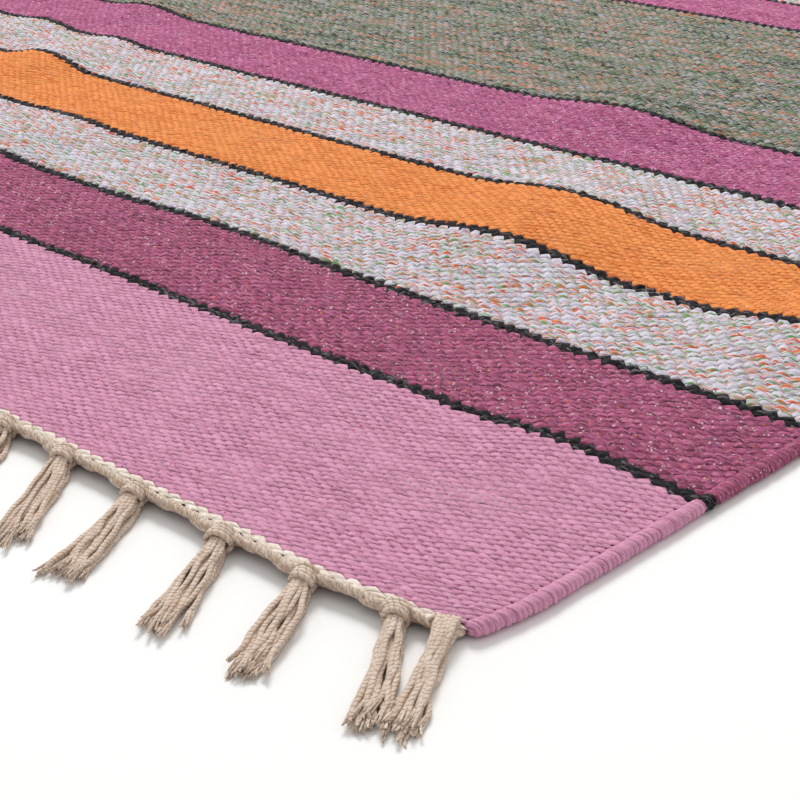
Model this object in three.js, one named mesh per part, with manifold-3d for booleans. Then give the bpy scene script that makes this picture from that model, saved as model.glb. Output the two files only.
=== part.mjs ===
// A striped flatwoven kilim lying on a floor, millimetres, +Z up.
// X runs across the rug along its wefts, Y along its length and its warps.
// The origin is on the floor under the middle of the rug.
import * as THREE from 'three';
import Module from 'manifold-3d';

const wasm = await Module();
wasm.setup();

// The woven cloth
const WIDTH = 1200; // from selvedge to selvedge
const LENGTH = 1612; // coloured weave, without headings and fringe
const THICKNESS = 5;
const COLUMN_STEP = 31; // widest spacing of the cloth's columns
const ROW_STEP = 58; // widest spacing of its rows

// The selvedge: the wefts turn round a bundle of edge warps, which stands up as a rounded bead.
// inset is measured from the outer edge, top from the underside.
const SELVEDGE_HALF = 3.6; // height of the bead's outermost line
const SELVEDGE = [
  { inset: 1.4, top: 6.4, bottom: 0.8 },
  { inset: 4.2, top: 7.4, bottom: 0 },
  { inset: 7.4, top: 6.2, bottom: 0 },
  { inset: 9.2, top: 4.4, bottom: 0 },
  { inset: 13, top: THICKNESS, bottom: 0 },
];

// Each corner is drawn in a little by the last wefts, and each end lifts off the floor on its knots.
const CORNER_REACH = 45; // of the draw-in, along the selvedge
const CORNER_FADE = 150;
const CORNER_DRAW_IN = 5;
const CORNER_SETBACK = 14;
const SETBACK_REACH = 100; // along the end
const END_LIFT = 3.2;
const END_LIFT_REACH = 70;
const END_LIFT_FROM_SELVEDGE = 60;
const END_ROWS = [0, 8, 20, 42, 72]; // distances of the closest rows from each end

// Low rises where the cloth doesn't lie quite flat. x and y give the middle of each, along and
// across its half length and half width, turn the angle of its length from +Y towards +X.
const RISES = [
  { x: 318, y: -420, along: 155, across: 92, turn: -19, height: 10 },
  { x: 200, y: -160, along: 125, across: 95, turn: -20, height: 7.5 },
  { x: 545, y: -458, along: 105, across: 80, turn: 0, height: 9.5 },
  { x: 525, y: -642, along: 80, across: 65, turn: 0, height: 4 },
  { x: 190, y: -575, along: 80, across: 125, turn: 20, height: 3.5 },
  { x: -85, y: -530, along: 110, across: 80, turn: -15, height: 5 },
  { x: -258, y: -375, along: 95, across: 58, turn: -25, height: 9.5 },
  { x: -278, y: -285, along: 70, across: 45, turn: 0, height: 3.5 },
  { x: -388, y: -278, along: 85, across: 52, turn: -10, height: 4.5 },
  { x: -364, y: -168, along: 95, across: 64, turn: -20, height: 6 },
  { x: 385, y: 120, along: 170, across: 90, turn: -12, height: 5 },
  { x: -150, y: 260, along: 190, across: 95, turn: 15, height: 5.5 },
  { x: 240, y: 520, along: 150, across: 85, turn: 10, height: 4.5 },
  { x: -420, y: 470, along: 130, across: 80, turn: -8, height: 4 },
];

// The cream heading at each end and the tassels knotted from the warp ends that leave it. out is
// measured from the cloth's end, crown, mid and bottom are heights at the top, the outer edge and
// the underside, above the cloth's underside or the floor, and depth is how far a strand starts
// inside its knot.
const GAP = 0.3; // between the cloth's end and the heading
const HEADING_INSET = 7; // of the heading's ends from the selvedge
const HEADING = { out: 7, crown: 5, mid: 3.4, bottom: 0.6, onFloor: false };
const HEADING_TOP = 5.2; // where it meets the cloth
const HEADING_WAIST = 1; // how much narrower it is halfway between knots
const CROWN_PLACE = 0.5; // of the way out
const FOOT_PLACE = 0.6;
const KNOT = { half: 6.5, out: 18, crown: 11.5, mid: 5.6, bottom: 0, onFloor: true, depth: 10 };
const LOOSE_ROOT = { half: 5, out: 10, crown: 6.5, mid: 3.2, bottom: 0, onFloor: true, depth: 5 };
const KNOT_FACE = 0.7; // of a knot's half width, where its full form begins
const KNOT_FLANK = 1.5; // where it has run out into the heading

const STRANDS_PER_TASSEL = 5;
const STRAND = [
  { share: 0, spread: 2.5, width: 2.1, height: 2.4 },
  { share: 0.5, spread: 3.9, width: 3.1, height: 3 },
  { share: 1, spread: 4.8, width: 3.7, height: 1.9 },
];
const ROOT_BOTTOM = 3; // height of a strand's underside inside its knot
const STRAND_UNEVEN = 3; // how much the strands of one tassel differ in length

// Tassels from the corner at +X on. at is the distance from the selvedge, lean the angle from
// straight out towards +X, length from the middle of the knot to the tips, fan scales the spread.
const CORNER_TASSELS = [
  { at: 11, lean: 27, length: 61, fan: 0.65, loose: true },
  { at: 31, lean: 30, length: 68, fan: 0.75, loose: false },
  { at: 75, lean: 28, length: 65, fan: 0.9, loose: false },
  { at: 123, lean: 29, length: 67, fan: 1, loose: false },
  { at: 177, lean: 24, length: 67, fan: 1, loose: false },
  { at: 228, lean: 35, length: 72, fan: 1, loose: false },
  { at: 272, lean: 30, length: 69, fan: 1, loose: false },
];
const TASSEL_PITCH = 49;
const TASSEL_SHIFT = 4; // how far the places, leans and lengths of the others vary
const MEAN_LEAN = 29;
const LEAN_VARIES = 6;
const MEAN_LENGTH = 68;
const LENGTH_VARIES = 4;
const VARY_STEP = { at: 2.4, lean: 1.7, length: 3.1 }; // radians from tassel to tassel
const LAST_TASSEL = { at: 1187, lean: 18, length: 62, fan: 0.8, loose: true };

const clothMaterial = new THREE.MeshStandardMaterial({ color: 0xb0709a, roughness: 0.95, metalness: 0 });
const cottonMaterial = new THREE.MeshStandardMaterial({ color: 0xd3c6b2, roughness: 0.95, metalness: 0 });

// 1 at zero distance, falling softly to 0 at reach
function fade(distance, reach) {
  const left = Math.max(0, 1 - distance / reach);
  return left * left;
}

function floorHeight(x, y) {
  let height = 0;
  for (const rise of RISES) {
    const turn = THREE.MathUtils.degToRad(rise.turn);
    const dx = x - rise.x;
    const dy = y - rise.y;
    const u = (dx * Math.sin(turn) + dy * Math.cos(turn)) / rise.along;
    const v = (dx * Math.cos(turn) - dy * Math.sin(turn)) / rise.across;
    const left = Math.max(0, 1 - u * u - v * v);
    height += rise.height * left * left;
  }
  return height;
}

// Where a point of the flat rectangle lies once the corners are drawn in and the ends lifted
function laid(across, along) {
  const fromSide = WIDTH / 2 - Math.abs(across);
  const fromEnd = LENGTH / 2 - Math.abs(along);
  const drawIn = CORNER_DRAW_IN * fade(fromEnd, CORNER_REACH) * fade(fromSide, CORNER_FADE);
  const setback = CORNER_SETBACK * fade(fromSide, SETBACK_REACH) * fade(fromEnd, CORNER_FADE);
  const lift = END_LIFT * fade(fromEnd, END_LIFT_REACH) * (1 - fade(fromSide, END_LIFT_FROM_SELVEDGE));
  return {
    x: across - Math.sign(across) * drawIn,
    y: along - Math.sign(along) * setback,
    z: lift + floorHeight(across, along),
  };
}

// Values from first to last in even steps no longer than step
function evenSteps(first, last, step) {
  const count = Math.ceil((last - first) / step);
  return Array.from({ length: count + 1 }, (_, i) => first + ((last - first) * i) / count);
}

// A closed skin over rings of equal size, with a cap at each end
function skin(rings, cap) {
  const size = rings[0].length;
  const index = [];
  for (let r = 0; r + 1 < rings.length; r += 1) {
    for (let i = 0; i < size; i += 1) {
      const j = (i + 1) % size;
      const a = r * size + i;
      const b = r * size + j;
      index.push(a, b, b + size, a, b + size, a + size);
    }
  }
  const last = (rings.length - 1) * size;
  for (const [a, b, c] of cap) {
    index.push(a, c, b);
    index.push(last + a, last + b, last + c);
  }
  const geometry = new THREE.BufferGeometry();
  const points = rings.flat().flatMap((p) => [p.x, p.y, p.z]);
  geometry.setAttribute('position', new THREE.Float32BufferAttribute(points, 3));
  geometry.setIndex(index);
  return geometry;
}

function fanCap(size) {
  return Array.from({ length: size - 2 }, (_, i) => [0, i + 1, i + 2]);
}

// Cap of a ring that runs along the top, round one edge, back along the underside, round the other
function ladderCap(columns) {
  const size = 2 * columns + 2;
  const triangles = [[0, 1, size - 1]];
  for (let i = 1; i < columns; i += 1) {
    triangles.push([i, i + 1, size - i - 1]);
    triangles.push([i, size - i - 1, size - i]);
  }
  triangles.push([columns, columns + 1, columns + 2]);
  return triangles;
}

function clothGeometry() {
  const half = WIDTH / 2;
  const flatFrom = SELVEDGE.at(-1).inset;
  const field = evenSteps(-half + flatFrom, half - flatFrom, COLUMN_STEP);
  const inner = field.slice(1, -1).map((x) => ({ x, top: THICKNESS, bottom: 0 }));
  const left = SELVEDGE.map((s) => ({ x: -half + s.inset, top: s.top, bottom: s.bottom }));
  const right = SELVEDGE.toReversed().map((s) => ({ x: half - s.inset, top: s.top, bottom: s.bottom }));
  const columns = [...left, ...inner, ...right];

  const end = LENGTH / 2;
  const middleRows = evenSteps(-end + END_ROWS.at(-1), end - END_ROWS.at(-1), ROW_STEP).slice(1, -1);
  const rows = [
    ...END_ROWS.map((d) => -end + d),
    ...middleRows,
    ...END_ROWS.toReversed().map((d) => end - d),
  ];

  const place = (x, y, above) => {
    const p = laid(x, y);
    return { x: p.x, y: p.y, z: p.z + above };
  };
  const rings = rows.map((y) => [
    place(-half, y, SELVEDGE_HALF),
    ...columns.map((c) => place(c.x, y, c.top)),
    place(half, y, SELVEDGE_HALF),
    ...columns.toReversed().map((c) => place(c.x, y, c.bottom)),
  ]);
  return skin(rings, ladderCap(columns.length));
}

function tassels() {
  const list = CORNER_TASSELS.map((t) => ({ ...t }));
  const from = CORNER_TASSELS.at(-1).at;
  const count = Math.floor((LAST_TASSEL.at - from) / TASSEL_PITCH - 0.5);
  for (let k = 1; k <= count; k += 1) {
    list.push({
      at: from + TASSEL_PITCH * k + TASSEL_SHIFT * Math.sin(VARY_STEP.at * k),
      lean: MEAN_LEAN + LEAN_VARIES * Math.sin(VARY_STEP.lean * k),
      length: MEAN_LENGTH + LENGTH_VARIES * Math.sin(VARY_STEP.length * k + 1),
      fan: 1,
      loose: false,
    });
  }
  list.push(LAST_TASSEL);
  return list.map((t) => ({ ...t, x: WIDTH / 2 - t.at, root: t.loose ? LOOSE_ROOT : KNOT }));
}

// The heading is one bar along the cloth's end that swells into a knot at each tassel
function headingGeometry(list) {
  const reach = WIDTH / 2 - HEADING_INSET;
  const stations = [{ x: reach, ...HEADING }];
  list.forEach((tassel, k) => {
    const { half, ...form } = tassel.root;
    stations.push({ x: tassel.x + half * KNOT_FLANK, ...HEADING });
    stations.push({ x: tassel.x + half * KNOT_FACE, ...form });
    stations.push({ x: tassel.x - half * KNOT_FACE, ...form });
    stations.push({ x: tassel.x - half * KNOT_FLANK, ...HEADING });
    const next = list[k + 1];
    if (next && !tassel.loose && !next.loose) {
      stations.push({ x: (tassel.x + next.x) / 2, ...HEADING, out: HEADING.out - HEADING_WAIST });
    }
  });
  stations.push({ x: -reach, ...HEADING });
  stations.sort((a, b) => a.x - b.x);
  const within = stations.filter((s) => Math.abs(s.x) <= reach);

  const rings = within.map((s) => {
    const end = laid(s.x, -LENGTH / 2);
    const inner = end.y - GAP;
    const base = s.onFloor ? 0 : end.z;
    return [
      { x: end.x, y: inner, z: end.z + HEADING.bottom },
      { x: end.x, y: inner, z: end.z + HEADING_TOP },
      { x: end.x, y: inner - s.out * CROWN_PLACE, z: base + s.crown },
      { x: end.x, y: inner - s.out, z: base + s.mid },
      { x: end.x, y: inner - s.out * FOOT_PLACE, z: base + s.bottom },
    ];
  });
  return skin(rings, fanCap(rings[0].length));
}

// One strand: a three-sided lock that slopes out of its knot and then lies level on the floor
function strandGeometry(tassel, k) {
  const end = laid(tassel.x, -LENGTH / 2);
  const lean = THREE.MathUtils.degToRad(tassel.lean);
  const out = new THREE.Vector2(Math.sin(lean), -Math.cos(lean));
  const side = new THREE.Vector2(-out.y, out.x);
  const start = new THREE.Vector2(end.x, end.y - GAP - tassel.root.out + tassel.root.depth);
  const place = (k - (STRANDS_PER_TASSEL - 1) / 2) * tassel.fan;
  const length = tassel.length - STRAND_UNEVEN * ((k * 2 + 1) % 3);
  const rings = STRAND.map((s) => {
    const middle = start.clone().addScaledVector(out, s.share * length);
    middle.addScaledVector(side, s.spread * place);
    const under = s.share === 0 ? ROOT_BOTTOM : 0;
    const right = middle.clone().addScaledVector(side, (s.width * tassel.fan) / 2);
    const left = middle.clone().addScaledVector(side, (-s.width * tassel.fan) / 2);
    return [
      { x: right.x, y: right.y, z: under },
      { x: middle.x, y: middle.y, z: under + s.height },
      { x: left.x, y: left.y, z: under },
    ];
  });
  return skin(rings, fanCap(3));
}

function solid(geometry) {
  const vertProperties = new Float32Array(geometry.getAttribute('position').array);
  const triVerts = new Uint32Array(geometry.getIndex().array);
  return new wasm.Manifold(new wasm.Mesh({ numProp: 3, vertProperties, triVerts }));
}

function fringeGeometry() {
  const list = tassels();
  let fringe = solid(headingGeometry(list));
  for (const tassel of list) {
    for (let k = 0; k < STRANDS_PER_TASSEL; k += 1) {
      fringe = fringe.add(solid(strandGeometry(tassel, k)));
    }
  }
  const mesh = fringe.getMesh();
  const geometry = new THREE.BufferGeometry();
  geometry.setAttribute('position', new THREE.BufferAttribute(mesh.vertProperties, 3));
  geometry.setIndex(new THREE.BufferAttribute(mesh.triVerts, 1));
  return geometry;
}

const kilim = new THREE.Group();

const cloth = new THREE.Mesh(clothGeometry(), clothMaterial);
cloth.name = 'kilim_cloth';
kilim.add(cloth);

// Both ends carry the same fringe, the far one turned half round
const fringe = fringeGeometry();
for (const [name, turn] of [['fringe_near', 0], ['fringe_far', Math.PI]]) {
  const end = new THREE.Mesh(fringe, cottonMaterial);
  end.name = name;
  end.rotation.z = turn;
  kilim.add(end);
}

export default kilim;
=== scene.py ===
import math

import bmesh
import bpy
import numpy as np
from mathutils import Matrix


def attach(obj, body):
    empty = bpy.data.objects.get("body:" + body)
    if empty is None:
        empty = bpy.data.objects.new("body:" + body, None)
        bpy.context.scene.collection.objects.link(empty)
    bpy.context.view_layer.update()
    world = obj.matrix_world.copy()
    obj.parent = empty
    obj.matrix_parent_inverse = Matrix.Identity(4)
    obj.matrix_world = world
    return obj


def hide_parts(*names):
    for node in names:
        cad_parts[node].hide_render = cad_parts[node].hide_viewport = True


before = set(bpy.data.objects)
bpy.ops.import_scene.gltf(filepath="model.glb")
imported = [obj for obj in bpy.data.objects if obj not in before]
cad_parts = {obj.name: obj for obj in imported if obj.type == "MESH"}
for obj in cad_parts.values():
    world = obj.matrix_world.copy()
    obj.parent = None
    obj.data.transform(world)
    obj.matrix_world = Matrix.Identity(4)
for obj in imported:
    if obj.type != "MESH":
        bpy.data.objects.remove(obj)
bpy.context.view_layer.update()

# The studio. The rug lies on a plain pale floor, seen from just above its corner. A wide soft light
# stands high behind it, and a bright room all round fills the shade.
FLOOR_SIDE = 60.0
FLOOR_COLOUR = (0.93, 0.93, 0.925, 1)
CAMERA_PLACE = (0.9349, -1.1931, 0.3346)
CAMERA_DOWN = 24.4
CAMERA_TURN = 43.6
CAMERA_LENS = 75.96
ROOM_COLOUR = (1, 0.99, 0.975, 1)
ROOM_STRENGTH = 0.66
LIGHT_PLACE = (-3.7, 3.4, 5.0)
LIGHT_AIM = (0.1, -0.4, 0)
LIGHT_SIZE = 2.6
LIGHT_POWER = 420

scene = bpy.context.scene
scene.view_settings.view_transform = "Standard"
scene.world = scene.world or bpy.data.worlds.new("room")
scene.world.use_nodes = True
room = scene.world.node_tree.nodes["Background"]
room.inputs["Color"].default_value = ROOM_COLOUR
room.inputs["Strength"].default_value = ROOM_STRENGTH

camera_data = bpy.data.cameras.new("photo_camera")
camera_data.sensor_width = 36
camera_data.lens = CAMERA_LENS
camera = bpy.data.objects.new("photo_camera", camera_data)
camera.location = CAMERA_PLACE
camera.rotation_euler = (math.radians(90 - CAMERA_DOWN), 0, math.radians(CAMERA_TURN))
scene.collection.objects.link(camera)
scene.camera = camera

lamp = bpy.data.lights.new("key_light", "AREA")
lamp.size = LIGHT_SIZE
lamp.energy = LIGHT_POWER
stand = bpy.data.objects.new("key_light", lamp)
stand.location = LIGHT_PLACE
aim = np.subtract(LIGHT_AIM, LIGHT_PLACE)
stand.rotation_euler = (math.atan2(math.hypot(aim[0], aim[1]), -aim[2]), 0, math.atan2(-aim[0], aim[1]))
scene.collection.objects.link(stand)

floor_bm = bmesh.new()
bmesh.ops.create_grid(floor_bm, x_segments=1, y_segments=1, size=FLOOR_SIDE / 2)
floor_mesh = bpy.data.meshes.new("floor")
floor_bm.to_mesh(floor_mesh)
floor_bm.free()
floor = bpy.data.objects.new("floor", floor_mesh)
scene.collection.objects.link(floor)
floor_paint = bpy.data.materials.new("floor_paint")
floor_paint.use_nodes = True
floor_shader = floor_paint.node_tree.nodes["Principled BSDF"]
floor_shader.inputs["Base Color"].default_value = FLOOR_COLOUR
floor_shader.inputs["Roughness"].default_value = 0.8
floor_shader.inputs["Specular IOR Level"].default_value = 0.2
floor_mesh.materials.append(floor_paint)

# The lie of the cloth. The loom gives a flat sheet, and on the floor it keeps low rises from being
# rolled. Its ends stand up a little off the floor, and the last wefts pull the corners in.
MM = 0.001
WIDTH = 1200 * MM
LENGTH = 1612 * MM
CORNER_REACH = 45 * MM
CORNER_FADE = 150 * MM
CORNER_DRAW_IN = 5 * MM
CORNER_SETBACK = 14 * MM
SETBACK_REACH = 100 * MM
END_LIFT = 3.2 * MM
END_LIFT_REACH = 70 * MM
END_LIFT_FROM_SELVEDGE = 60 * MM
RISES = [
    dict(x=318, y=-420, along=155, across=92, turn=-19, height=10),
    dict(x=200, y=-160, along=125, across=95, turn=-20, height=7.5),
    dict(x=545, y=-458, along=105, across=80, turn=0, height=9.5),
    dict(x=525, y=-642, along=80, across=65, turn=0, height=4),
    dict(x=190, y=-575, along=80, across=125, turn=20, height=3.5),
    dict(x=-85, y=-530, along=110, across=80, turn=-15, height=5),
    dict(x=-258, y=-375, along=95, across=58, turn=-25, height=9.5),
    dict(x=-278, y=-285, along=70, across=45, turn=0, height=3.5),
    dict(x=-388, y=-278, along=85, across=52, turn=-10, height=4.5),
    dict(x=-364, y=-168, along=95, across=64, turn=-20, height=6),
    dict(x=385, y=120, along=170, across=90, turn=-12, height=5),
    dict(x=-150, y=260, along=190, across=95, turn=15, height=5.5),
    dict(x=240, y=520, along=150, across=85, turn=10, height=4.5),
    dict(x=-420, y=470, along=130, across=80, turn=-8, height=4),
]


def fade(distance, reach):
    """1 at no distance, falling to 0 at the reach."""
    return np.maximum(0.0, 1.0 - distance / reach) ** 2


def lie(across, along):
    """Where points of the flat cloth come to lie: x, y and the height of its underside."""
    from_side = np.maximum(0.0, WIDTH / 2 - np.abs(across))
    from_end = np.maximum(0.0, LENGTH / 2 - np.abs(along))
    draw_in = CORNER_DRAW_IN * fade(from_end, CORNER_REACH) * fade(from_side, CORNER_FADE)
    setback = CORNER_SETBACK * fade(from_side, SETBACK_REACH) * fade(from_end, CORNER_FADE)
    height = END_LIFT * fade(from_end, END_LIFT_REACH) * (1 - fade(from_side, END_LIFT_FROM_SELVEDGE))
    for rise in RISES:
        turn = math.radians(rise["turn"])
        aside = across - rise["x"] * MM
        ahead = along - rise["y"] * MM
        lengthways = (aside * math.sin(turn) + ahead * math.cos(turn)) / (rise["along"] * MM)
        sideways = (aside * math.cos(turn) - ahead * math.sin(turn)) / (rise["across"] * MM)
        height = height + rise["height"] * MM * np.maximum(0.0, 1 - lengthways**2 - sideways**2) ** 2
    return across - np.sign(across) * draw_in, along - np.sign(along) * setback, height


# The weave. Thick soft wefts cover the warps, so each pick shows as humps over every other warp, set
# half way between the humps of the picks beside it. The yarns differ in thickness, so each colour has its
# own step from pick to pick. The colours run the same from both ends to the wide green middle.
WARPS = 270
FIELD = 590.5 * MM
WARP_STEP = 2 * FIELD / WARPS
FINE_STEP = 2.42 * MM
HALF_STRIPES = [
    dict(yarn="pink", picks=62, step=2.412 * MM),
    dict(yarn="plum", picks=22, step=3.8 * MM),
    dict(yarn="light", picks=19, step=4.527 * MM),
    dict(yarn="orange", picks=28, step=3.071 * MM),
    dict(yarn="light", picks=18, step=4.644 * MM),
    dict(yarn="mauve", picks=26, step=3.677 * MM),
]
STRIPES = HALF_STRIPES + [dict(yarn="green", picks=73, step=4.693 * MM)] + HALF_STRIPES[::-1]
PINSTRIPE_PICKS = 2
PINSTRIPE_STEP = 3.95 * MM
PINSTRIPE_UNEVEN = np.array([0.1, 0.5, 0.25]) * MM
HUMP_TOP = 5.6 * MM
HUMP_RELIEF = 0.35
RIDGE_HALF = 0.22
SPARE = 8
HUMP_UNEVEN = np.array([0.55, 0.3, 0.12]) * MM
BEAT_UNEVEN = 0.2 * MM
SLUB_LONG = 9
SLUB_UNEVEN = 0.3 * MM
WANDER = [
    dict(swing=0.7 * MM, per_warp=8 * WARP_STEP, per_pick=0.04),
    dict(swing=0.4 * MM, per_warp=0.11, per_pick=-0.09),
]
pick_steps = []
pinstripe_starts = []
for stripe in STRIPES:
    pick_steps += [stripe["step"]] * stripe["picks"]
    pinstripe_starts.append(len(pick_steps))
    pick_steps += [PINSTRIPE_STEP] * PINSTRIPE_PICKS
pinstripe_starts = np.array(pinstripe_starts[:-1])
pick_steps = np.array(pick_steps[:-PINSTRIPE_PICKS])
PICKS = len(pick_steps)
pick_steps *= LENGTH / pick_steps.sum()
pick_steps = np.concatenate([np.full(SPARE, FINE_STEP), pick_steps, np.full(SPARE, FINE_STEP)])
pick_ends = np.cumsum(pick_steps) - SPARE * FINE_STEP - LENGTH / 2
pick_middles = pick_ends - pick_steps / 2
weaver = np.random.default_rng(11)
hump_shift = weaver.normal(size=(PICKS + 2 * SPARE, WARPS + 2 * SPARE, 3)).clip(-2, 2) * HUMP_UNEVEN
beat_shift = weaver.normal(size=PICKS + 2 * SPARE).clip(-2, 2) * BEAT_UNEVEN
slubs = np.cumsum(weaver.normal(size=(PICKS + 2 * SPARE, WARPS + 2 * SPARE + SLUB_LONG)), axis=1)
hump_shift[:, :, 1] += (slubs[:, SLUB_LONG:] - slubs[:, :-SLUB_LONG]) / SLUB_LONG * SLUB_UNEVEN
for pinstripe in pinstripe_starts + SPARE:
    rough = hump_shift[pinstripe - 1:pinstripe + PINSTRIPE_PICKS + 1]
    rough += weaver.normal(size=rough.shape).clip(-2, 2) * PINSTRIPE_UNEVEN


def pick_start(pick):
    """Where along the flat cloth a pick starts."""
    return float(pick_ends[pick + SPARE - 1])


def woven(warp, pick, column, height):
    """Points of the cloth at a warp and pick of the weave, column being the place between the warps."""
    shift = hump_shift[pick + SPARE, warp + SPARE]
    wander = sum(w["swing"] * np.sin(w["per_warp"] * column + w["per_pick"] * pick) for w in WANDER)
    across = -FIELD + column * WARP_STEP + shift[:, 0]
    along = pick_middles[pick + SPARE] + beat_shift[pick + SPARE] + shift[:, 1] + wander
    x, y, z = lie(across, along)
    return np.stack([x, y, z + height + shift[:, 2]], axis=1)


def humps(first, last):
    """The humps of the picks from first up to last: points, triangles and weave coordinates."""
    warp, pick = np.meshgrid(np.arange(-1, WARPS + 2), np.arange(first - 1, last + 1))
    foot = (warp + pick) % 2 == 1
    crest = ~foot & (warp >= 0) & (warp <= WARPS) & (pick >= first) & (pick < last)
    number = np.cumsum(foot).reshape(foot.shape) - 1
    row, column = np.nonzero(crest)
    feet = np.count_nonzero(foot)
    left = feet + np.arange(len(row))
    right = left + len(row)
    west, east = number[row, column - 1], number[row, column + 1]
    south, north = number[row - 1, column], number[row + 1, column]
    sides = [(west, south, left), (south, right, left), (south, east, right)]
    sides += [(east, north, right), (north, left, right), (north, west, left)]
    triangles = np.concatenate([np.stack(side, axis=1) for side in sides])
    warps = np.concatenate([warp[foot], warp[crest], warp[crest]])
    picks = np.concatenate([pick[foot], pick[crest], pick[crest]])
    columns = warps.astype(float)
    columns[left] -= RIDGE_HALF
    columns[right] += RIDGE_HALF
    relief = HUMP_RELIEF * pick_steps[picks + SPARE]
    height = HUMP_TOP - np.where(np.arange(len(warps)) < feet, relief, 0.0)
    points = woven(warps, picks, columns, height)
    used, triangles = np.unique(triangles, return_inverse=True)
    weave = np.stack([columns, picks], axis=1)
    return points[used], triangles.reshape(-1, 3), weave[used]


# The selvedges. Each weft turns back round a bundle of outer warps, which makes a rounded bead, ribbed
# by the turns of the yarn. A groove parts it from the humps, and a skirt runs in under them.
UNDERSIDE_HEIGHT = 0.4 * MM
BEAD_INSET = 4.2 * MM
BEAD_HEIGHT = 3.4 * MM
BEAD_HALF_WIDTH = 3.9 * MM
BEAD_HALF_HEIGHT = 3.1 * MM
BEAD_ANGLES = np.radians([180, 150, 115, 80, 45, 10, -26, -66, -130])
BEAD_SKIRT = 7 * MM
RIB_STEPS = 1.3
RIB_SWELL = 0.08
RIB_UNEVEN = 0.05
RIB_SLANT = 0.7
BEAD_FROM_WARPS = 4.2
RIBS = 700
rib_shift = weaver.normal(size=RIBS).clip(-2, 2) * RIB_UNEVEN
ROWS_PER_STEP = 4
BEAD_END = [dict(out=0.5, size=0.86), dict(out=0.95, size=0.55), dict(out=1.1, size=0.08)]


def bead(first, last, side):
    """The selvedge bead along the picks from first up to last, closed where the cloth ends."""
    start, stop = ((pick_start(pick) + LENGTH / 2) / FINE_STEP for pick in (first, last))
    rows = np.linspace(start, stop, round((stop - start) * ROWS_PER_STEP) + 1)
    size = np.ones_like(rows)
    if first == 0:
        rows = np.concatenate([[rows[0] - e["out"] for e in BEAD_END[::-1]], rows])
        size = np.concatenate([[e["size"] for e in BEAD_END[::-1]], size])
    if last == PICKS:
        rows = np.concatenate([rows, [rows[-1] + e["out"] for e in BEAD_END]])
        size = np.concatenate([size, [e["size"] for e in BEAD_END]])
    row, angle = np.meshgrid(rows, BEAD_ANGLES, indexing="ij")
    turn = row / RIB_STEPS + RIB_SLANT * angle / math.tau
    rib = 1 + RIB_SWELL * np.cos(math.tau * turn) + rib_shift[np.round(turn).astype(int)]
    swell = size[:, None] * rib
    across = np.full_like(row, side * (WIDTH / 2 - BEAD_INSET))
    x, y, z = lie(across, -LENGTH / 2 + row * FINE_STEP)
    out = BEAD_HALF_WIDTH * swell * np.cos(angle)
    out[:, 0] = -BEAD_SKIRT * size
    x = x + side * out
    z = z + np.maximum(BEAD_HEIGHT + BEAD_HALF_HEIGHT * swell * np.sin(angle), UNDERSIDE_HEIGHT)
    points = np.stack([x, y, z], axis=-1).reshape(-1, 3)
    number = np.arange(row.size).reshape(row.shape)
    a, b = number[:-1, :-1].ravel(), number[:-1, 1:].ravel()
    c, d = number[1:, 1:].ravel(), number[1:, :-1].ravel()
    triangles = np.concatenate([np.stack([a, b, c], 1), np.stack([a, c, d], 1)])
    if side > 0:
        triangles = triangles[:, ::-1]
    past = WARPS / 2 + side * (WARPS / 2 + BEAD_FROM_WARPS - angle)
    return points, triangles, np.stack([past.ravel(), row.ravel()], axis=1)


# The weft's finish. One node group finds the hump, the pick and the ply at each point of the weave map,
# with the rib on the selvedge, and gives their height and chance values for the yarns' colours.
def reckon(tree, operation, *values):
    """A Math node on numbers and sockets."""
    node = tree.nodes.new("ShaderNodeMath")
    node.operation = operation
    for socket, value in zip(node.inputs, values):
        if isinstance(value, bpy.types.NodeSocket):
            tree.links.new(value, socket)
        else:
            socket.default_value = value
    return node.outputs[0]


def blend_of(tree, part, low, high):
    """low where part is 0 and high where it is 1."""
    return reckon(tree, "MULTIPLY_ADD", part, reckon(tree, "SUBTRACT", high, low), low)


def place_of(tree, x, y, z=0.0):
    node = tree.nodes.new("ShaderNodeCombineXYZ")
    for socket, value in zip(node.inputs, (x, y, z)):
        if isinstance(value, bpy.types.NodeSocket):
            tree.links.new(value, socket)
        else:
            socket.default_value = value
    return node.outputs[0]


def chance_of(tree, x, y, z=0.0):
    node = tree.nodes.new("ShaderNodeTexWhiteNoise")
    node.noise_dimensions = "3D"
    tree.links.new(place_of(tree, x, y, z), node.inputs["Vector"])
    return node.outputs["Value"]


def cloud_of(tree, x, y, detail):
    node = tree.nodes.new("ShaderNodeTexNoise")
    node.inputs["Scale"].default_value = 1.0
    node.inputs["Detail"].default_value = detail
    tree.links.new(place_of(tree, x, y), node.inputs["Vector"])
    return node.outputs["Fac"]


def spread(tree, value, low, high, to_low, to_high):
    """value from low to high, taken smoothly to to_low to to_high."""
    node = tree.nodes.new("ShaderNodeMapRange")
    node.interpolation_type = "SMOOTHSTEP"
    tree.links.new(value, node.inputs["Value"])
    for name, number in (("From Min", low), ("From Max", high), ("To Min", to_low), ("To Max", to_high)):
        node.inputs[name].default_value = number
    return node.outputs["Result"]


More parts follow.
